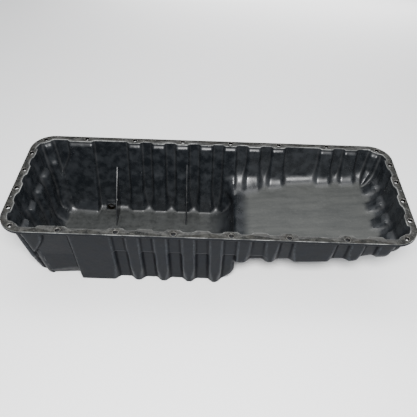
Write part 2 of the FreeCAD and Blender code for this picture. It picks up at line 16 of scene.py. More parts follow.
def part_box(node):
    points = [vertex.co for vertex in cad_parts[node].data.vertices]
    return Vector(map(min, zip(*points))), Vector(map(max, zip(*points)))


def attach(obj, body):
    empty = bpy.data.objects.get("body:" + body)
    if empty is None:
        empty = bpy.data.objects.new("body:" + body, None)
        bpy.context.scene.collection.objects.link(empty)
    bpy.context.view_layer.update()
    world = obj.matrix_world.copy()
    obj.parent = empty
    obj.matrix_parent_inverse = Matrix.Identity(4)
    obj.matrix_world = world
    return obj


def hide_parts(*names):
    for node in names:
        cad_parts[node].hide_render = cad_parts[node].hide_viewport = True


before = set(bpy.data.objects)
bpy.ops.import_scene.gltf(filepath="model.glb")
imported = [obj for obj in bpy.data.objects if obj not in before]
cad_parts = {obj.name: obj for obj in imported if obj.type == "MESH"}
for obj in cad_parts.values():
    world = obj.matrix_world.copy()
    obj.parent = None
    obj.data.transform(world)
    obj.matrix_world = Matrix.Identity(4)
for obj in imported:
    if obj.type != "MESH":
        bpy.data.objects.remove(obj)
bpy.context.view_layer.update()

MM = 0.001


def box_mm(node):
    """A CAD node's lowest and highest corners, in millimetres."""
    low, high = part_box(node)
    return np.array(low) / MM, np.array(high) / MM


def middle(node):
    low, high = box_mm(node)
    return (low + high) / 2


# ---------------------------------------------------------------------------
# Sizes, in millimetres
# ---------------------------------------------------------------------------

PAN_LOW, PAN_HIGH = box_mm("pan_shell")
HALF_LENGTH, HALF_WIDTH, HEIGHT = PAN_HIGH
SLEEVES = [name for name in sorted(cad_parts) if name.startswith("bolt_sleeve")]
SLEEVE_LOW, SLEEVE_HIGH = box_mm(SLEEVES[0])
UNDERSIDE = SLEEVE_LOW[2]
SLEEVE_RADIUS = (SLEEVE_HIGH[0] - SLEEVE_LOW[0]) / 2
SLEEVE_WALL = 2.5
BORE_RADIUS = SLEEVE_RADIUS - SLEEVE_WALL
FLANGE_RADIUS = 72
EDGE_ROUND = 1.6
DIMPLE_INSET = 9
DIMPLE_PLACES = (-84, 0, 84)
DIMPLE_RADIUS = 3.4
DIMPLE_BOTTOM_RADIUS = 2.6
DIMPLE_DEPTH = 3
DIMPLE_SIDES = 20

# Half length, half width and corner radius of the tub's inner flutes, at the flange and at z = 0.
TUB_TOP = (571, 202.5, 54)
TUB_LOW = (527, 162, 40)
SKIN = 4

WELL_WALL = 80
STEP_DARK = 104
STEP_LIGHT = 140
WELL_BEND = 66
STEP_ROLL = 15
SHELF_START = 100
SHELF_HEIGHT = 122 + SKIN
SHELF_SLOPE = 0.085
COLUMN_BEND = 8
FLUTE_BEND = 20
CORNER_BEND = 50
OUTER_BEND = 8
OUTER_END_BEND = 42
SHELF_BEND = 34
SHELF_END_BEND = 44
STEP_BEND = 66

COLUMN_PITCH = 80
COLUMN_FIRST = -255.4
LEDGED_COLUMNS = [COLUMN_FIRST + COLUMN_PITCH * step for step in range(6)]
PLAIN_COLUMNS = [COLUMN_FIRST + COLUMN_PITCH * step for step in (6, 8, 9)]
COLUMN_BASE = 27.5
COLUMN_FLANK = 11
LONG_COLUMN = -434.6
LONG_COLUMN_BASE = 46
END_COLUMNS = (42, 126)
END_COLUMN_BASE = 31
END_FLANK = 14
CORNER_ANGLE = math.radians(56.6)
CORNER_COLUMN_BASE = 24
LEDGE_DROP = 104
LEDGE_STEP = 26
OUTER_LEDGE_STEP = 8
COLUMN_SPREAD = 12
SPREAD_HEIGHT = 95
CORNER_FLANK = 15

# How far a column's face stands inward of the flutes beside it.
SHOULDER_RISE = 8
SHOULDER_GAIN = 5
LOW_GAIN = 3
LEDGE_RISE = 4
OUTER_RISE = 6
OUTER_GAIN = 9
OUTER_GAIN_DROP = 150
OUTER_LEDGE_RISE = 10
OUTER_NARROWING = 2.7
END_RISE = 7
DOME_RISE = 15
CORNER_DOME_SHARE = 0.35

# The long column's face folds in below a line this far down, and the flute beside it closes.
FOLD_DROP = 240
FOLD_CLIMB = 25
FOLD_LEAN = 0.28
CORNER_CLOSING = 70
CLOSING_HEIGHT = 235
CLOSING_RUN = 170

POCKET_TOP = 15
POCKET_LOW = 8
POCKET_DEPTH = 34
POCKET_ROUND = 6
POCKET_EDGE = 1.5

DRAIN_X = middle("drain_insert")[0]
DRAIN_Z = middle("drain_insert")[2]
DRAIN_INNER = box_mm("drain_insert")[0][1]
DRAIN_FACE = box_mm("drain_insert")[1][1]
BOSS_RADIUS = 18
BOSS_EDGE = 2
BOSS_SUNK = 10
BOSS_FILLET = 5
BLOCK_HALF_WIDTH = 17
BLOCK_TOP = 34
BLOCK_ROUND = 3
COLLAR_DEPTH = 3
COLLAR_STEP = 2

SIDES = ("left", "right")
TAB_ENDS = {"left": 176, "right": 160}
TAB_THICK = 3
TAB_REACH = 8
TAB_HALF_HEIGHT = 10


# ---------------------------------------------------------------------------
# Fields: below zero inside a region, above zero outside it
# ---------------------------------------------------------------------------


def smooth(t):
    """A smooth step from 0 to 1."""
    t = np.clip(t, 0, 1)
    return t * t * (3 - 2 * t)


def both(a, b, radius):
    """The region in both a and b, with its inner corner rounded."""
    corner = np.hypot(np.maximum(a + radius, 0), np.maximum(b + radius, 0))
    return np.minimum(-radius, np.maximum(a, b)) + corner


def either(a, b, radius):
    """The region in a or b, with the notch between them rounded."""
    corner = np.hypot(np.maximum(radius - a, 0), np.maximum(radius - b, 0))
    return np.maximum(radius, np.minimum(a, b)) - corner


def column(distance, base, flank):
    """1 on a column's flat and 0 in the flutes beside it."""
    return smooth((base - distance) / flank)


def low_share(x, z):
    """0 on the upper wall and 1 at the floor, which is higher on the shelf."""
    foot = SHELF_HEIGHT * smooth((x - 60) / 60)
    return smooth((foot + SPREAD_HEIGHT - z) / SPREAD_HEIGHT)


def column_rise(x, y, z, outside):
    """How far the wall stands inward of its flutes. The columns spread and deepen towards the floor."""
    drop = HEIGHT - z
    share = z / HEIGHT
    half_length, half_width, radius = (low + (top - low) * share for low, top in zip(TUB_LOW, TUB_TOP))
    beyond_x = np.abs(x) - (half_length - radius)
    beyond_y = np.abs(y) - (half_width - radius)
    low = low_share(x, z)
    skin, step = (SKIN, OUTER_LEDGE_STEP) if outside else (0, LEDGE_STEP)
    below = smooth((drop - LEDGE_DROP - skin) / step)
    fade = np.clip((drop - LEDGE_DROP) / (HEIGHT - LEDGE_DROP), 0, 1)
    shoulder = SHOULDER_RISE + SHOULDER_GAIN * smooth((drop - 5) / 12)
    if outside:
        plain = OUTER_RISE + OUTER_GAIN * np.clip(drop / OUTER_GAIN_DROP, 0, 1)
        ledged = OUTER_RISE + below * (OUTER_LEDGE_RISE - fade)
        shift = OUTER_NARROWING
    else:
        plain = shoulder + LOW_GAIN * low
        ledged = shoulder + below * (LEDGE_RISE - fade)
        shift = 0
    spread = COLUMN_SPREAD * low
    base = COLUMN_BASE - shift + spread
    flank = COLUMN_FLANK + spread
    # The long column's face is turned in below a line that climbs to the left.
    fold = HEIGHT - FOLD_DROP + FOLD_CLIMB * (x - LONG_COLUMN + LONG_COLUMN_BASE) / (2 * LONG_COLUMN_BASE)
    turned_in = FOLD_LEAN * np.maximum(fold - z, 0)
    # It runs into the corner lower down, where the flute beside it closes.
    closing = CORNER_CLOSING * smooth((CLOSING_HEIGHT - z) / CLOSING_RUN)
    from_long = np.maximum(x - LONG_COLUMN, LONG_COLUMN - x - closing)
    rise = column(from_long, LONG_COLUMN_BASE - shift, COLUMN_FLANK) * (plain + turned_in)
    for centre in LEDGED_COLUMNS:
        rise = rise + column(np.abs(x - centre), base, flank) * ledged
    for centre in PLAIN_COLUMNS:
        rise = rise + column(np.abs(x - centre), base, flank) * plain
    # The end walls' columns are waves, each with a domed shoulder.
    lean = drop - skin
    dome = DOME_RISE * smooth((lean - 66) / 16) * (1 - 0.5 * smooth((lean - 105) / 120))
    across = np.abs(y) * TUB_TOP[1] / half_width
    end = 0
    for centre in END_COLUMNS:
        end = end + column(np.abs(across - centre), END_COLUMN_BASE - shift, END_FLANK) * (END_RISE + dome)
    angle = np.arctan2(beyond_y, beyond_x)
    at_corner = column(np.abs(angle - CORNER_ANGLE) * radius, CORNER_COLUMN_BASE - shift, CORNER_FLANK)
    round_to = LONG_COLUMN + half_length - radius + (math.pi / 2 - angle) * radius - closing
    at_corner = np.maximum(at_corner, column(round_to, LONG_COLUMN_BASE - shift, COLUMN_FLANK) * (x < 0))
    round_corner = at_corner * (plain + CORNER_DOME_SHARE * dome)
    in_corner = (beyond_x > 0) & (beyond_y > 0)
    return np.where(in_corner, round_corner, np.where(beyond_y > beyond_x, rise, end))


def plan_field(x, y, z):
    """The flutes' plan at each height: a drafted rounded rectangle."""
    share = z / HEIGHT
    half_length, half_width, radius = (low + (top - low) * share for low, top in zip(TUB_LOW, TUB_TOP))
    beyond_x = np.abs(x) - (half_length - radius)
    beyond_y = np.abs(y) - (half_width - radius)
    plan = np.hypot(np.maximum(beyond_x, 0), np.maximum(beyond_y, 0))
    return plan + np.minimum(np.maximum(beyond_x, beyond_y), 0) - radius


def floor_field(x, z):
    """The space above the two-level floor."""
    well = both(x - WELL_WALL, SKIN - z, WELL_BEND)
    shelf = (SHELF_HEIGHT + SHELF_SLOPE * (x - SHELF_START) - z) / math.hypot(1, SHELF_SLOPE)
    return either(well, shelf, STEP_ROLL)


def floor_bend(x, z, rise):
    """The inner radius between walls and floor: tight under the well's columns, wide in its flutes."""
    flute = 1 - np.clip(rise / 13, 0, 1)
    well = COLUMN_BEND + (FLUTE_BEND - COLUMN_BEND) * flute
    well = well + (CORNER_BEND - well) * smooth((-470 - x) / 50)
    shelf = SHELF_BEND + (STEP_BEND - SHELF_BEND) * smooth((250 - x) / 150)
    shelf = shelf + (SHELF_END_BEND - SHELF_BEND) * smooth((x - 470) / 70)
    on_shelf = smooth((z - 50) / 70) * smooth((x - 5) / 75)
    return well + (shelf - well) * on_shelf


def inside_field(x, y, z):
    """The tub's cavity, with its mouth flared where the flange's inner edge is rounded."""
    rise = column_rise(x, y, z, False)
    cavity = both(plan_field(x, y, z) + rise, floor_field(x, z), floor_bend(x, z, rise))
    climb = np.clip(z - (HEIGHT - EDGE_ROUND), 0, EDGE_ROUND)
    cavity = cavity - (EDGE_ROUND - np.sqrt(EDGE_ROUND**2 - climb**2))
    block = both(np.abs(x - DRAIN_X) - BLOCK_HALF_WIDTH, DRAIN_INNER - y, BLOCK_ROUND)
    block = both(block, z - BLOCK_TOP, BLOCK_ROUND)
    return both(cavity, -block, BLOCK_ROUND)


def outside_field(x, y, z):
    """The tub's outer form, with the boss round the drain and the sockets under the rail bolts."""
    bend = OUTER_BEND + (OUTER_END_BEND - OUTER_BEND) * smooth((x - 400) / 110)
    form = both(plan_field(x, y, z) + column_rise(x, y, z, True), floor_field(x, z), bend) - SKIN
    boss = both(np.hypot(x - DRAIN_X, z - DRAIN_Z) - BOSS_RADIUS, y - DRAIN_FACE, BOSS_EDGE)
    form = either(form, np.maximum(boss, DRAIN_INNER + BOSS_SUNK - y), BOSS_FILLET)
    for place in RAIL_BOLTS:
        fall = np.clip((UNDERSIDE - z) / POCKET_DEPTH, 0, 1)
        radius = POCKET_TOP + (POCKET_LOW - POCKET_TOP) * fall
        socket = np.hypot(x - place[0], np.abs(y) - place[1]) - radius
        socket = both(socket, UNDERSIDE - POCKET_DEPTH - z, POCKET_ROUND)
        form = both(form, -socket, POCKET_EDGE)
    return form


BOLT_PLACES = [middle(name)[:2] for name in SLEEVES]
RAIL_Y = max(y for _, y in BOLT_PLACES)
RAIL_BOLTS = [(x, y) for x, y in BOLT_PLACES if y > RAIL_Y - 1]


# ---------------------------------------------------------------------------
# Surface on a grid
# ---------------------------------------------------------------------------


def grid_lines(*runs):
    """Grid lines through runs of (start, step), each divided evenly up to the next run's start."""
    lines = []
    for (start, step), (end, _) in zip(runs, runs[1:]):
        lines.append(np.linspace(start, end, max(1, round((end - start) / step)), endpoint=False))
    return np.concatenate([*lines, [runs[-1][0]]])


def settle(field, points, held, top):
    """Moves points onto the field's surface, no higher than top. Held points keep their height."""
    reach, delta, flattest, rounds = 2.5, 0.05, 0.05, 6
    for _ in range(rounds):
        value = field(*points.T)
        slope = np.empty_like(points)
        for axis in range(3):
            shift = np.zeros(3)
            shift[axis] = delta
            slope[:, axis] = (field(*(points + shift).T) - field(*(points - shift).T)) / (2 * delta)
        slope[held, 2] = 0
        steep = np.maximum((slope**2).sum(1), flattest)
        move = -(value / steep)[:, None] * slope
        length = np.linalg.norm(move, axis=1)
        move *= np.minimum(1, reach / np.maximum(length, 1e-9))[:, None]
        points = points + move
        points[:, 2] = np.minimum(points[:, 2], top)
    return points


def surface_net(field, lines, top, facing):
    """The field's surface below the height top, as points and four-sided faces, open at the top.

    The faces' normals point up the field where facing is 1 and down it where facing is -1.
    """
    values = field(*np.meshgrid(*lines, indexing="ij"))
    inside = values < 0
    shape = np.array(values.shape) - 1
    count = np.zeros(shape, int)
    for i in (0, 1):
        for j in (0, 1):
            for k in (0, 1):
                count += inside[i : i + shape[0], j : j + shape[1], k : k + shape[2]]
    mixed = (count > 0) & (count < 8)
    cells = np.argwhere(mixed)
    number = np.full(shape, -1)
    number[mixed] = np.arange(len(cells))

    total = np.zeros((len(cells), 3))
    hits = np.zeros(len(cells))
    for axis in range(3):
        b, c = (axis + 1) % 3, (axis + 2) % 3
        for p in (0, 1):
            for q in (0, 1):
                low = cells.copy()
                low[:, b] += p
                low[:, c] += q
                high = low.copy()
                high[:, axis] += 1
                first, last = values[tuple(low.T)], values[tuple(high.T)]
                crossed = (first < 0) != (last < 0)
                share = first / np.where(crossed, first - last, 1)
                start = np.column_stack([lines[n][low[:, n]] for n in range(3)])
                end = np.column_stack([lines[n][high[:, n]] for n in range(3)])
                total += (start + share[:, None] * (end - start)) * crossed[:, None]
                hits += crossed
    points = total / hits[:, None]
    held = cells[:, 2] == shape[2] - 1
    points[held, 2] = top
    points = settle(field, points, held, top)

    faces = []
    for axis in range(3):
        b, c = (axis + 1) % 3, (axis + 2) % 3
        low = np.take(inside, range(shape[axis]), axis)
        high = np.take(inside, range(1, shape[axis] + 1), axis)
        at = np.argwhere(low != high)
        good = (at[:, b] > 0) & (at[:, b] < shape[b]) & (at[:, c] > 0) & (at[:, c] < shape[c])
        if axis == 2:
            good &= at[:, 2] < shape[2] - 1
        at = at[good]
        ring = []
        for p, q in ((1, 1), (0, 1), (0, 0), (1, 0)):
            cell = at.copy()
            cell[:, b] -= p
            cell[:, c] -= q
            ring.append(number[tuple(cell.T)])
        quads = np.column_stack(ring)
        rising = low[tuple(at.T)] == (facing > 0)
        faces.append(np.where(rising[:, None], quads, quads[:, ::-1]))
    faces = np.concatenate(faces)
    used, faces = np.unique(faces, return_inverse=True)
    return points[used], faces.reshape(-1, 4)


def open_edges(faces):
    """The edges that only one face uses."""
    edges = np.concatenate([faces[:, [side, (side + 1) % 4]] for side in range(4)])
    _, index, count = np.unique(np.sort(edges, axis=1), axis=0, return_index=True, return_counts=True)
    return edges[index[count == 1]]


# ---------------------------------------------------------------------------
# Flange
# ---------------------------------------------------------------------------


def rim_loop(inset, height):
    """The flange's outer outline, moved in by an inset."""
    a, b, radius = HALF_LENGTH - inset, HALF_WIDTH - inset, FLANGE_RADIUS - inset
    count = 25
    centres = [
        (a - radius, b - radius),
        (radius - a, b - radius),
        (radius - a, radius - b),
        (a - radius, radius - b),
    ]
    points = []
    for turn, (x, y) in enumerate(centres):
        for angle in np.linspace(turn * math.pi / 2, (turn + 1) * math.pi / 2, count):
            points.append((x + radius * math.cos(angle), y + radius * math.sin(angle), height))
    return np.array(points)


def circle(x, y, radius, height, count=32):
    angles = np.arange(count) * 2 * math.pi / count
    along, across = x + radius * np.cos(angles), y + radius * np.sin(angles)
    return np.column_stack([along, across, np.full(count, height)])


def flat_faces(points, edges, up):
    """Triangles that fill the flat area between closed loops, by whether a point is in an odd number."""
    used, local = np.unique(edges, return_inverse=True)
    local = local.reshape(-1, 2)
    flat = points[used][:, :2]
    found = delaunay_2d_cdt([Vector(p) for p in flat], [tuple(map(int, e)) for e in local], [], 0, 1e-6)
    corners = np.array([p[:] for p in found[0]])
    origin = np.array([start[0] for start in found[3]])
    triangles = np.array(found[2])
    centre = corners[triangles].mean(1)
    start, end = flat[local[:, 0]], flat[local[:, 1]]
    odd = np.zeros(len(triangles), bool)
    for number, (x, y) in enumerate(centre):
        spans = (start[:, 1] > y) != (end[:, 1] > y)
        s, e = start[spans], end[spans]
        crossing = s[:, 0] + (y - s[:, 1]) * (e[:, 0] - s[:, 0]) / (e[:, 1] - s[:, 1])
        odd[number] = (crossing > x).sum() % 2
    triangles = triangles[odd]
    a, b, c = (corners[triangles[:, n]] for n in range(3))
    area = (b[:, 0] - a[:, 0]) * (c[:, 1] - a[:, 1]) - (b[:, 1] - a[:, 1]) * (c[:, 0] - a[:, 0])
    triangles[(area > 0) != up] = triangles[(area > 0) != up][:, ::-1]
    return used[origin[triangles]]


class Builder:
    """Collects points and faces of one mesh."""

    def __init__(self):
        self.points = []
        self.faces = []
        self.count = 0

    def add(self, points, faces=()):
        start = self.count
        self.points.append(np.asarray(points, float))
        self.count += len(points)
        if len(faces):
            self.faces += (np.asarray(faces, int).reshape(len(faces), -1) + start).tolist()
        return np.arange(start, self.count)

    def band(self, lower, upper):
        """Faces between two loops of equal count."""
        for a, b, c, d in zip(lower, np.roll(lower, -1), np.roll(upper, -1), upper):
            self.faces.append([int(a), int(b), int(c), int(d)])

    def mesh(self, name):
        data = bpy.data.meshes.new(name)
        data.from_pydata(np.concatenate(self.points) * MM, [], self.faces)
        data.validate()
        data.update()
        return data


def loop_edges(loop):
    return np.column_stack([loop, np.roll(loop, -1)])


def make_shell():
    """The moulding's mesh. Its grid is finer where the floors and ledges bend."""
    wide = grid_lines((-600, 3.8), (600, 1))
    deep = grid_lines((-214, 3.6), (-138, 10), (138, 3.6), (214, 1))
    build = Builder()

    inner_z = grid_lines((-2, 3), (22, 8), (112, 5), (154, 2.8), (176, 9), (250, 2.8), (269.6, 0.7),
                         (HEIGHT - 0.1, 0.2), (HEIGHT + 0.1, 1))
    points, faces = surface_net(inside_field, (wide, deep, inner_z), HEIGHT, -1)
    inner = build.add(points, faces)
    inner_edges = inner[open_edges(faces)]

    outer_z = grid_lines((-4, 3), (26, 8), (108, 5), (150, 2.8), (176, 9), (222, 4), (UNDERSIDE - 0.1, 0.2),
                         (UNDERSIDE + 0.1, 1))
    points, faces = surface_net(outside_field, (wide, deep, outer_z), UNDERSIDE, 1)
    outer = build.add(points, faces)
    outer_edges = outer[open_edges(faces)]

    rim = []
    for turn in (0, 0.25, 0.5, 0.75, 1):
        lean = turn * math.pi / 2
        rim.append((EDGE_ROUND * (1 - math.sin(lean)), HEIGHT - EDGE_ROUND * (1 - math.cos(lean))))
    rim += [(inset, UNDERSIDE + HEIGHT - height) for inset, height in reversed(rim)]
    loops = [build.add(rim_loop(inset, height)) for inset, height in rim]
    for upper, lower in zip(loops, loops[1:]):
        build.band(lower, upper)

    top_edges, low_edges = [inner_edges, loop_edges(loops[0])], [outer_edges, loop_edges(loops[-1])]
    for x, y in BOLT_PLACES:
        upper = build.add(circle(x, y, SLEEVE_RADIUS, HEIGHT))
        lower = build.add(circle(x, y, SLEEVE_RADIUS, UNDERSIDE))
        build.band(upper, lower)
        top_edges.append(loop_edges(upper))
        low_edges.append(loop_edges(lower))
    # Small blind dimples between the end bolts.
    for x in (-HALF_LENGTH + DIMPLE_INSET, HALF_LENGTH - DIMPLE_INSET):
        for y in DIMPLE_PLACES:
            upper = build.add(circle(x, y, DIMPLE_RADIUS, HEIGHT, DIMPLE_SIDES))
            lower = build.add(circle(x, y, DIMPLE_BOTTOM_RADIUS, HEIGHT - DIMPLE_DEPTH, DIMPLE_SIDES))
            build.band(upper, lower)
            build.faces.append(lower.tolist())
            top_edges.append(loop_edges(upper))

    everything = np.concatenate(build.points)
    build.faces += flat_faces(everything, np.concatenate(top_edges), True).tolist()
    build.faces += flat_faces(everything, np.concatenate(low_edges), False).tolist()
    return build.mesh("pan_moulding")


# ---------------------------------------------------------------------------
# Small helpers for pieces
# ---------------------------------------------------------------------------


def add_object(name, mesh, *materials):
    piece = bpy.data.objects.new(name, mesh)
    bpy.context.scene.collection.objects.link(piece)
    for material in materials:
        mesh.materials.append(material)
    return piece


def shade(mesh, sharp_degrees=40):
    mesh.polygons.foreach_set("use_smooth", [True] * len(mesh.polygons))
    mesh.set_sharp_from_angle(angle=math.radians(sharp_degrees))


def turned(name, rows, count, place):
    """A closed mesh turned round an axis from rows of (height, radius or radius by angle).

    place turns (across, side, along) in millimetres to a point of the frame.
    """
    angles = np.arange(count) * 2 * math.pi / count
    build = Builder()
    loops = []
    for along, radius in rows:
        spread = radius(angles) if callable(radius) else np.full(count, radius)
        ring = np.column_stack([spread * np.cos(angles), spread * np.sin(angles), np.full(count, along)])
        loops.append(build.add(place(ring)))
    for lower, upper in zip(loops, loops[1:]):
        build.band(lower, upper)
    for loop, along in ((loops[0][::-1], rows[0][0]), (loops[-1], rows[-1][0])):
        hub = build.add(place(np.array([[0, 0, along]])))[0]
        build.faces += [[int(a), int(b), int(hub)] for a, b in zip(loop, np.roll(loop, -1))]
    return build.mesh(name)


def turned_ring(name, rows, count, place):
    """A closed ring turned round an axis from a closed outline of (height, radius)."""
    angles = np.arange(count) * 2 * math.pi / count
    build = Builder()
    loops = []
    for along, radius in rows:
        ring = np.column_stack([radius * np.cos(angles), radius * np.sin(angles), np.full(count, along)])
        loops.append(build.add(place(ring)))
    for lower, upper in zip(loops, loops[1:] + loops[:1]):
        build.band(lower, upper)
    return build.mesh(name)


def combine(target, tool, operation):
    """Cuts tool from target's mesh or joins it to it, and leaves one closed mesh."""
    modifier = target.modifiers.new("combine", "BOOLEAN")
    modifier.operation = operation
    modifier.solver = "MANIFOLD"
    modifier.object = tool
    graph = bpy.context.evaluated_depsgraph_get()
    result = bpy.data.meshes.new_from_object(target.evaluated_get(graph))
    target.modifiers.remove(modifier)
    target.data = result
    bpy.data.objects.remove(tool)


def block_mesh(name, low, high, round_by):
    """A box with rounded edges."""
    form = bmesh.new()
    bmesh.ops.create_cube(form, size=1)
    span = (np.array(high) - np.array(low)) * MM
    centre = (np.array(high) + np.array(low)) / 2 * MM
    for vertex in form.verts:
        vertex.co = Vector(np.array(vertex.co) * span + centre)
    bmesh.ops.bevel(form, geom=form.edges[:], offset=round_by * MM, segments=3, affect="EDGES", profile=0.5)
    data = bpy.data.meshes.new(name)
    form.to_mesh(data)
    form.free()
    return data


# ---------------------------------------------------------------------------
# Pan shell
# ---------------------------------------------------------------------------


def along_y(centre_x, centre_z):
    """A frame whose axis runs along +Y."""
    def place(ring):
        return np.column_stack([centre_x + ring[:, 0], ring[:, 2], centre_z - ring[:, 1]])
    return place


def along_x(centre_y, centre_z):
    """A frame whose axis runs along +X."""
    def place(ring):
        return np.column_stack([ring[:, 2], centre_y + ring[:, 0], centre_z + ring[:, 1]])
    return place


def curvature(field, points, sign):
    """How sharply the surface bends, above zero on ridges. sign is -1 for the cavity's field."""
    delta = 1.5
    total = -6 * field(*points.T)
    for axis in range(3):
        for way in (-1, 1):
            shift = np.zeros(3)
            shift[axis] = way * delta
            total = total + field(*(points + shift).T)
    return sign * total / delta**2


def mark_surface(mesh):
    """Writes what the material needs to know of each point: its side, its edges and its floor."""
    count = len(mesh.vertices)
    points = np.empty(count * 3, np.float32)
    mesh.vertices.foreach_get("co", points)
    points = points.reshape(-1, 3).astype(float) / MM
    near, gain, film_depth = 1.2, 6, 9
    cavity = inside_field(*points.T)
    form = outside_field(*points.T)
    within = (np.abs(cavity) < near) & (np.abs(form) > near)
    ridge = np.where(within, curvature(inside_field, points, -1), curvature(outside_field, points, 1))
    on_tub = within | (np.abs(form) < 1)
    ridge = np.where(on_tub, ridge, 0)
    above_floor = np.minimum(floor_field(points[:, 0], points[:, 2]), 0)
    # ridge and hollow also mask the material's painted highlights on convex edges and painted shade in
    # creases.
    marks = {
        "within": within,
        "ridge": np.clip(ridge * gain, 0, 1),
        "hollow": np.clip(-ridge * gain, 0, 1),
        "floor": np.where(within, np.exp(above_floor / film_depth), 0),
    }
    for name, value in marks.items():
        attribute = mesh.attributes.new(name, "FLOAT", "POINT")
        attribute.data.foreach_set("value", value.astype(np.float32))


def make_pan_shell(outer, inner):
    """The moulding with its drain bored and the baffles' tabs joined on."""
    shell = add_object("pan_moulding", make_shell())
    insert_low, insert_high = box_mm("drain_insert")
    collar_radius = (insert_high[0] - insert_low[0]) / 2
    barrel_radius = collar_radius - COLLAR_STEP
    collar = DRAIN_FACE - COLLAR_DEPTH
    bore = turned(
        "drain_bore",
        [
            (DRAIN_INNER - 8, barrel_radius),
            (collar, barrel_radius),
            (collar, collar_radius),
            (DRAIN_FACE + 8, collar_radius),
        ],
        64,
        along_y(DRAIN_X, DRAIN_Z),
    )
    combine(shell, add_object("drain_bore", bore), "DIFFERENCE")
    for side in SIDES:
        plate = box_mm(f"surge_baffle_{side}")[0][0]
        rivet = middle(f"baffle_rivet_{side}")
        low = (plate - TAB_THICK, rivet[1] - TAB_REACH, rivet[2] - TAB_HALF_HEIGHT)
        high = (plate, TAB_ENDS[side], rivet[2] + TAB_HALF_HEIGHT)
        tab = add_object(f"tab_{side}", block_mesh(f"tab_{side}", low, high, 1))
        combine(shell, tab, "UNION")
    mark_surface(shell.data)
    shade(shell.data)
    shell.data.materials.clear()
    shell.data.materials.append(outer)
    shell.data.materials.append(inner)
    within = np.empty(len(shell.data.vertices), np.float32)
    shell.data.attributes["within"].data.foreach_get("value", within)
    for face in shell.data.polygons:
        face.material_index = int(within[list(face.vertices)].mean() > 0.5)
    return shell


# ---------------------------------------------------------------------------
# Drain plug and rivets
# ---------------------------------------------------------------------------


def make_plug(material):
    """The plug from its magnet's pit, past a cut thread and a flange, to its hexagon head."""
    low, high = box_mm("drain_plug")
    across_flats = 24
    flange_radius, flange_thick = 15, 3
    thread_radius, thread_root, pitch = 9.95, 9.05, 1.5
    seat = box_mm("drain_washer")[1][1]
    collar = seat + flange_thick
    top = high[1]
    tip = low[1]
    magnet_low, magnet_high = box_mm("plug_magnet")
    magnet_radius = (magnet_high[0] - magnet_low[0]) / 2
    pit = magnet_high[1]

    def thread(along):
        def radius(angles):
            phase = (along / pitch - angles / (2 * math.pi)) % 1
            crest = np.clip(1.5 - 4 * np.abs(phase - 0.5), 0, 1)
            run_out = min(1, max(0, (along - tip) / 1.6)) * min(1, max(0, (seat - 1.2 - along) / 1.2))
            return thread_root + (thread_radius - thread_root) * crest * run_out
        return radius

    def hexagon(chamfer):
        def radius(angles):
            wedge = (angles + math.pi / 6) % (math.pi / 3) - math.pi / 6
            return np.minimum(across_flats / 2 / np.cos(wedge), chamfer)
        return radius

    rows = [(pit, magnet_radius), (tip + 0.4, magnet_radius + 0.05), (tip, magnet_radius + 0.5)]
    rows += [(tip, thread_root - 1.2), (tip + 1, thread_root - 0.2)]
    rows += [(along, thread(along)) for along in np.arange(tip + 1.2, seat - 0.3, pitch / 8)]
    rows += [(seat, thread_root), (seat, flange_radius - 0.6), (seat + 0.5, flange_radius)]
    rows += [(collar - 0.8, flange_radius), (collar - 0.2, flange_radius - 0.7)]
    corner = across_flats / 2 / math.cos(math.pi / 6)
    rows += [(collar, hexagon(corner)), (top - 2, hexagon(corner)), (top - 1, hexagon(corner - 0.9))]
    rows += [(top - 0.25, hexagon(across_flats / 2 + 0.1)), (top, hexagon(across_flats / 2 - 0.6))]
    rows += [(top, 7.5), (top - 0.8, 6.8)]
    mesh = turned("plug_threaded", rows, 96, along_y(DRAIN_X, DRAIN_Z))
    plug = add_object("plug_threaded", mesh, material)
    shade(plug.data, 30)
    return plug


def make_sleeve(node, material):
    """A steel ring with broken edges. Its top is sunk a little under the flange's face."""
    low, high = box_mm(node)
    x, y = middle(node)[:2]
    outer, bore, broken, sunk = SLEEVE_RADIUS, BORE_RADIUS, 0.5, 0.2
    rows = [(low[2], bore + broken), (low[2] + broken, bore), (high[2] - broken - sunk, bore)]
    rows += [(high[2] - sunk, bore + broken), (high[2] - sunk, outer - sunk), (high[2] - broken, outer)]
    rows += [(low[2] + sunk, outer), (low[2], outer - sunk)]

    def place(ring):
        return ring + [x, y, 0]

    name = node.replace("bolt_sleeve", "steel_ring")
    ring = add_object(name, turned_ring(name, rows[::-1], 40, place), material)
    shade(ring.data, 30)
    return ring


def make_rivet(side, material):
    """A rivet with a domed head on each side."""
    low, high = box_mm(f"baffle_rivet_{side}")
    head = (high[1] - low[1]) / 2
    shank = 2.4
    thick = 1.6
    centre = middle(f"baffle_rivet_{side}")
    dome = [(math.sin(a), math.cos(a)) for a in np.linspace(0, math.pi / 2, 7)[:-1]]
    rows = [(low[0] + thick * (1 - rise), head * spread) for rise, spread in reversed(dome)]
    rows += [(low[0] + thick, shank), (high[0] - thick, shank)]
    rows += [(high[0] - thick * (1 - rise), head * spread) for rise, spread in dome]
    mesh = turned(f"rivet_{side}", rows, 32, along_x(centre[1], centre[2]))
    rivet = add_object(f"rivet_{side}", mesh, material)
    shade(rivet.data, 35)
    return rivet


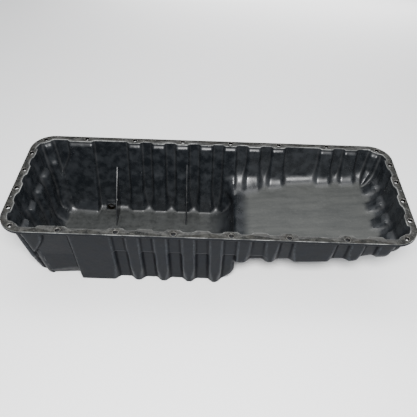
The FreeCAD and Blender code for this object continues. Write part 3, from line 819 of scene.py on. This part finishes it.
def make_baffle(side, material):
    """The CAD's plate with broken edges. Its foot's back corner is cut off, inside the moulding."""
    corner_cut, broken, flat_angle, sharp_angle = 7, 1.0, 0.02, 0.7
    low = box_mm(f"surge_baffle_{side}")[0]
    form = bmesh.new()
    form.from_mesh(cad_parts[f"surge_baffle_{side}"].data)
    bmesh.ops.remove_doubles(form, verts=form.verts[:], dist=1e-6)
    bmesh.ops.dissolve_limit(form, angle_limit=flat_angle, verts=form.verts[:], edges=form.edges[:])
    back = max(vertex.co.y for vertex in form.verts if vertex.co.z < (low[2] + 1) * MM)
    everything = form.verts[:] + form.edges[:] + form.faces[:]
    cut = bmesh.ops.bisect_plane(
        form,
        geom=everything,
        plane_co=(0, back - corner_cut * MM, low[2] * MM),
        plane_no=(0, 1, -1),
        clear_outer=True,
    )
    rim = [item for item in cut["geom_cut"] if isinstance(item, bmesh.types.BMEdge)]
    bmesh.ops.holes_fill(form, edges=rim)
    bmesh.ops.recalc_face_normals(form, faces=form.faces[:])
    shared = [edge for edge in form.edges if len(edge.link_faces) == 2]
    bmesh.ops.bevel(
        form,
        geom=[edge for edge in shared if edge.calc_face_angle() > sharp_angle],
        offset=broken * MM,
        segments=3,
        affect="EDGES",
        profile=0.5,
        clamp_overlap=True,
    )
    plate = bpy.data.meshes.new(f"baffle_{side}")
    form.to_mesh(plate)
    form.free()
    piece = add_object(f"baffle_{side}", plate, material)
    shade(plate, 35)
    return piece


# ---------------------------------------------------------------------------
# Materials
# ---------------------------------------------------------------------------


class Nodes:
    """A short way to write a material's node tree."""

    def __init__(self, name):
        self.material = bpy.data.materials.new(name)
        self.material.use_nodes = True
        self.tree = self.material.node_tree
        self.shader = self.tree.nodes["Principled BSDF"]
        self.place = self.tree.nodes.new("ShaderNodeTexCoord").outputs["Object"]

    def link(self, source, target):
        if isinstance(source, (int, float)):
            target.default_value = source
        elif isinstance(source, tuple):
            target.default_value = (*source, 1)
        else:
            self.tree.links.new(source, target)

    def noise(self, scale, detail=3, roughness=0.55, stretch=None):
        node = self.tree.nodes.new("ShaderNodeTexNoise")
        node.inputs["Scale"].default_value = scale
        node.inputs["Detail"].default_value = detail
        node.inputs["Roughness"].default_value = roughness
        place = self.place
        if stretch:
            mapping = self.tree.nodes.new("ShaderNodeMapping")
            mapping.inputs["Scale"].default_value = stretch
            self.tree.links.new(place, mapping.inputs["Vector"])
            place = mapping.outputs[0]
        self.tree.links.new(place, node.inputs["Vector"])
        return node.outputs["Fac"]

    def ramp(self, value, low, high, start=0.0, end=1.0):
        """start below low, end above high."""
        node = self.tree.nodes.new("ShaderNodeMapRange")
        node.interpolation_type = "SMOOTHSTEP"
        for name, number in (("From Min", low), ("From Max", high), ("To Min", start), ("To Max", end)):
            node.inputs[name].default_value = number
        self.link(value, node.inputs["Value"])
        return node.outputs["Result"]

    def chain(self, operation, *values):
        """Puts the values through one operation after another."""
        total = values[0]
        for value in values[1:]:
            node = self.tree.nodes.new("ShaderNodeMath")
            node.operation = operation
            self.link(total, node.inputs[0])
            self.link(value, node.inputs[1])
            total = node.outputs[0]
        return total

    def times(self, *values):
        return self.chain("MULTIPLY", *values)

    def plus(self, *values):
        return self.chain("ADD", *values)

    def mix(self, share, first, second):
        """first where share is 0 and second where it is 1, each a colour."""
        node = self.tree.nodes.new("ShaderNodeMix")
        node.data_type = "RGBA"
        self.link(share, node.inputs["Factor"])
        self.link(first, node.inputs[6])
        self.link(second, node.inputs[7])
        return node.outputs[2]

    def attribute(self, name):
        node = self.tree.nodes.new("ShaderNodeAttribute")
        node.attribute_name = name
        return node.outputs["Fac"]

    def parts(self, vector):
        node = self.tree.nodes.new("ShaderNodeSeparateXYZ")
        self.link(vector, node.inputs[0])
        return node.outputs

    def normal(self):
        return self.tree.nodes.new("ShaderNodeNewGeometry").outputs["Normal"]

    def bump(self, height, distance, strength=1.0, under=None):
        node = self.tree.nodes.new("ShaderNodeBump")
        node.inputs["Distance"].default_value = distance
        node.inputs["Strength"].default_value = strength
        self.link(height, node.inputs["Height"])
        if under is not None:
            self.tree.links.new(under, node.inputs["Normal"])
        return node.outputs[0]

    def finish(self, colour=None, roughness=None, bump=None, metallic=0.0, specular=0.5):
        if colour is not None:
            self.link(colour, self.shader.inputs["Base Color"])
        if roughness is not None:
            self.link(roughness, self.shader.inputs["Roughness"])
        if bump is not None:
            self.tree.links.new(bump, self.shader.inputs["Normal"])
        self.shader.inputs["Metallic"].default_value = metallic
        self.shader.inputs["Specular IOR Level"].default_value = specular
        return self.material


def composite_material(name, specular):
    """Black glass-filled composite: a worn flange face, glossy oily walls, an oil film on the floors,
    painted highlights on its convex edges and painted shade in its creases.
    """
    n = Nodes(name)
    height = n.parts(n.place)[2]
    along = n.parts(n.place)[0]
    up = n.parts(n.normal())[2]
    within, floor, ridge, hollow = (n.attribute(name) for name in ("within", "floor", "ridge", "hollow"))
    broad, cloud, fine, grain = n.noise(9), n.noise(38, 5), n.noise(150, 4, 0.65), n.noise(900, 2)

    wall = n.mix(n.ramp(cloud, 0.35, 0.7), (0.0060, 0.0072, 0.0088), (0.0160, 0.0180, 0.0205))
    outer = n.mix(n.ramp(cloud, 0.3, 0.75), (0.0024, 0.0030, 0.0044), (0.0062, 0.0074, 0.0100))
    scuffs = n.ramp(n.noise(70, 6, 0.75, (1, 1, 0.25)), 0.6, 0.78, 0, 0.5)
    outer = n.mix(n.times(scuffs, n.ramp(broad, 0.4, 0.65)), outer, (0.026, 0.029, 0.034))
    body = n.mix(within, outer, wall)

    # Dried oil lies in streaks along the floors and thins to nothing at the step.
    streaks = n.noise(30, 6, 0.7, (0.22, 1.5, 1))
    film = n.mix(n.ramp(streaks, 0.25, 0.75), (0.032, 0.034, 0.033), (0.053, 0.055, 0.052))
    film = n.mix(n.ramp(n.noise(17, 6, 0.7), 0.55, 0.75, 0, 0.55), film, (0.022, 0.023, 0.021))
    dust = n.noise(330, 4, 0.7, (0.25, 1, 1))
    film = n.mix(n.ramp(dust, 0.55, 0.70, 0, 0.5), film, (0.085, 0.087, 0.083))
    film = n.mix(n.ramp(n.noise(420, 3, 0.6), 0.64, 0.72, 0, 0.7), film, (0.012, 0.012, 0.012))
    shelf_only = n.ramp(along, STEP_DARK * MM, STEP_LIGHT * MM)
    well_only = n.ramp(along, WELL_WALL * MM, (WELL_WALL - 110) * MM, 0, 0.72)
    reach = n.ramp(n.plus(floor, n.times(n.plus(cloud, -0.5), 0.35)), 0.45, 1.0)
    floor_share = n.times(reach, n.chain("MAXIMUM", shelf_only, well_only))
    # In the well, the floor is darkened in patches.
    well_darkening = n.ramp(n.noise(65, 6, 0.75), 0.42, 0.66)
    in_well = n.ramp(along, (WELL_WALL + 20) * MM, WELL_WALL * MM)
    film = n.mix(n.times(in_well, n.ramp(well_darkening, 0, 1, 0.25, 0.75)), film, (0.010, 0.011, 0.010))
    body = n.mix(floor_share, body, film)

    # Convex edges are painted lighter, mostly outside: partly wear, partly a painted highlight where the
    # edges catch the light.
    edge = n.times(ridge, n.ramp(fine, 0.35, 0.62), n.ramp(within, 0.4, 0.6, 0.30, 0.02))
    body = n.mix(edge, body, (0.070, 0.078, 0.088))
    # Concave creases and the flanks beside the columns are painted near black: painted shade.
    body = n.mix(n.times(hollow, n.ramp(within, 0.4, 0.6, 0.55, 0.3)), body, (0.002, 0.002, 0.003))

    face = n.times(n.ramp(height, HEIGHT * MM - 0.0016, HEIGHT * MM - 0.0002), n.ramp(up, 0.5, 0.9))
    worn = n.mix(n.ramp(n.noise(55, 6, 0.72), 0.38, 0.62), (0.010, 0.0105, 0.0105), (0.034, 0.034, 0.031))
    worn = n.mix(n.ramp(n.noise(24, 5, 0.7), 0.48, 0.66, 0, 0.65), worn, (0.018, 0.016, 0.014))
    worn = n.mix(n.ramp(n.noise(240, 3, 0.6), 0.56, 0.7, 0, 0.55), worn, (0.10, 0.10, 0.095))
    body = n.mix(face, body, worn)
    # The flange's rounded edges are painted bright: partly rubbed wear, partly a painted highlight where
    # they catch the light.
    turned_edge = n.times(n.ramp(up, 0.02, 0.3), n.ramp(up, 0.99, 0.96, 0, 1))
    near_top = n.ramp(height, HEIGHT * MM - 0.004, HEIGHT * MM - 0.001)
    rim = n.times(near_top, turned_edge, n.ramp(fine, 0.3, 0.55, 0.25, 1))
    body = n.mix(n.times(rim, n.ramp(n.noise(14, 3), 0.42, 0.6, 0.25, 0.9)), body, (0.21, 0.215, 0.21))

    rough = n.plus(n.ramp(cloud, 0.3, 0.7, 0.20, 0.32), n.times(floor_share, 0.17), n.times(face, 0.20))
    rough = n.plus(rough, n.ramp(fine, 0.3, 0.7, 0.0, 0.07), n.ramp(within, 0.4, 0.6, 0.16, 0))
    rough = n.plus(rough, n.times(hollow, 0.3))
    relief = n.bump(broad, 0.0030, 0.5)
    relief = n.bump(n.noise(60, 2), 0.0005, 0.35, relief)
    relief = n.bump(grain, 0.00012, 0.6, relief)
    return n.finish(body, rough, relief, specular=specular)


def sleeve_material():
    """Dull steel on the upward face; the bore and other faces are painted near black, partly oil, partly
    painted shade.
    """
    n = Nodes("sleeve_steel")
    up = n.parts(n.normal())[2]
    patches, fine = n.noise(160, 4, 0.65), n.noise(700, 3)
    face = n.mix(n.ramp(patches, 0.35, 0.65), (0.050, 0.047, 0.043), (0.175, 0.170, 0.160))
    # Faces that don't face up are painted near black: painted shade in the bore, with some oil.
    colour = n.mix(n.ramp(up, 0.3, 0.8), (0.004, 0.004, 0.004), face)
    return n.finish(colour, n.ramp(fine, 0.3, 0.7, 0.45, 0.6), n.bump(fine, 0.00004, 0.5), metallic=0.8)


def metal_material(name, light, dark, rough, grain_scale=700):
    """Metal in patches of two shades, with a fine grain."""
    n = Nodes(name)
    patches = n.noise(120, 4)
    grain = n.noise(grain_scale, 3, 0.6)
    colour = n.mix(n.ramp(patches, 0.3, 0.7), dark, light)
    roughness = n.ramp(grain, 0.3, 0.7, rough - 0.08, rough + 0.1)
    roughness = n.plus(roughness, n.ramp(patches, 0.3, 0.7, 0.06, 0))
    return n.finish(colour, roughness, n.bump(grain, 0.00004, 0.5), metallic=1.0)


def baffle_material():
    """The baffles' composite, with the free edge painted bright: partly rubbed wear, partly a painted
    highlight, fading out towards the foot as painted shade.
    """
    n = Nodes("baffle_composite")
    cloud, fine = n.noise(45, 5), n.noise(220, 4, 0.65)
    facing = n.parts(n.normal())[1]
    colour = n.mix(n.ramp(cloud, 0.35, 0.7), (0.006, 0.007, 0.009), (0.018, 0.019, 0.021))
    along, _, height = n.parts(n.place)
    # The free edge faces the light and is painted lighter: partly wear, partly painted highlight. It fades
    # out towards the foot as painted shade and is fainter on the right baffle.
    edge = n.times(n.ramp(facing, -0.75, -0.98), n.ramp(fine, 0.3, 0.6, 0.35, 1))
    edge = n.times(edge, n.ramp(height, 0.02, 0.11), n.ramp(along, -0.24, -0.16, 1, 0.25))
    colour = n.mix(edge, colour, (0.075, 0.075, 0.072))
    return n.finish(colour, n.ramp(cloud, 0.3, 0.7, 0.28, 0.45), n.bump(fine, 0.00015, 0.4))


def dress(node, material):
    """Gives a CAD node that stays in view its drawn material."""
    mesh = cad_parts[node].data
    mesh.materials.clear()
    mesh.materials.append(material)


outer_composite = composite_material("composite", 0.07)
inner_composite = composite_material("composite_oiled", 0.55)
sleeve_steel = sleeve_material()
plug_steel = metal_material("plug_steel", (0.55, 0.54, 0.50), (0.36, 0.35, 0.32), 0.34)
rivet_steel = metal_material("rivet_steel", (0.66, 0.66, 0.65), (0.45, 0.45, 0.44), 0.30)
# The drain insert's brass is painted near black: painted shade of the recess it sits in.
brass = metal_material("brass", (0.030, 0.024, 0.016), (0.012, 0.010, 0.008), 0.5)
aluminium = metal_material("washer_aluminium", (0.78, 0.78, 0.77), (0.55, 0.55, 0.54), 0.38)
magnet_dark = metal_material("magnet", (0.22, 0.22, 0.23), (0.12, 0.12, 0.13), 0.45, 300)

shell = make_pan_shell(outer_composite, inner_composite)
plug = make_plug(plug_steel)
rivets = {side: make_rivet(side, rivet_steel) for side in SIDES}

baffle_composite = baffle_material()
baffles = {side: make_baffle(side, baffle_composite) for side in SIDES}
dress("drain_insert", brass)
dress("drain_washer", aluminium)
dress("plug_magnet", magnet_dark)

pieces = [(shell, "pan", "pan_shell", "composite"), (plug, "plug", "drain_plug", "plug_steel")]
for side in SIDES:
    pieces.append((rivets[side], "pan", f"baffle_rivet_{side}", "rivet_steel"))
    pieces.append((baffles[side], "pan", f"surge_baffle_{side}", "baffle_composite"))
for node in SLEEVES:
    pieces.append((make_sleeve(node, sleeve_steel), "pan", node, "sleeve_steel"))
for piece, body, node, slot in pieces:
    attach(piece, body)
    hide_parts(node)


# ---------------------------------------------------------------------------
# Floor, light and camera
# ---------------------------------------------------------------------------


def make_floor():
    n = Nodes("floor")
    n.finish((0.97, 0.97, 0.97), 0.9, specular=0.0)
    floor_mesh = bpy.data.meshes.new("floor")
    reach = 12
    corners = [(-reach, -reach, 0), (reach, -reach, 0), (reach, reach, 0), (-reach, reach, 0)]
    floor_mesh.from_pydata(corners, [], [(0, 1, 2, 3)])
    add_object("floor", floor_mesh, n.material)


def soft_light(name, place, target, width, depth, power):
    lamp = bpy.data.lights.new(name, "AREA")
    lamp.shape = "RECTANGLE"
    lamp.size, lamp.size_y, lamp.energy = width, depth, power
    light = bpy.data.objects.new(name, lamp)
    light.location = place
    light.rotation_euler = (Vector(target) - Vector(place)).to_track_quat("-Z", "Y").to_euler()
    bpy.context.scene.collection.objects.link(light)


def make_camera():
    """A camera 44 degrees above the pan, in front of its long side, rolled slightly."""
    data = bpy.data.cameras.new("camera")
    data.sensor_width = 36
    data.lens = 44.28
    data.clip_end = 60
    camera = bpy.data.objects.new("camera", data)
    right = Vector((0.99941, 0.02666, 0.02154))
    up = Vector((-0.03402, 0.69503, 0.71817))
    back = right.cross(up)
    turn = Matrix((right, up, back)).transposed()
    camera.matrix_world = Matrix.Translation(Vector((5.1, -1172.1, 1305.2)) * MM) @ turn.to_4x4()
    bpy.context.scene.collection.objects.link(camera)
    bpy.context.scene.camera = camera


make_floor()
make_camera()
soft_light("key", (0.0, -1.30, 1.75), (0, 0, 0.1), 0.58, 0.36, 88)
soft_light("overhead", (0.1, 0.3, 2.1), (0, 0, 0.1), 2.4, 0.7, 22)
soft_light("back", (0.5, 2.4, 0.55), (0, 0, 0.15), 2.4, 0.7, 34)

world = bpy.data.worlds.new("studio")
bpy.context.scene.world = world
world.use_nodes = True
sky = world.node_tree.nodes["Background"]
sky.inputs["Color"].default_value = (0.95, 0.97, 1.0, 1)
sky.inputs["Strength"].default_value = 0.62
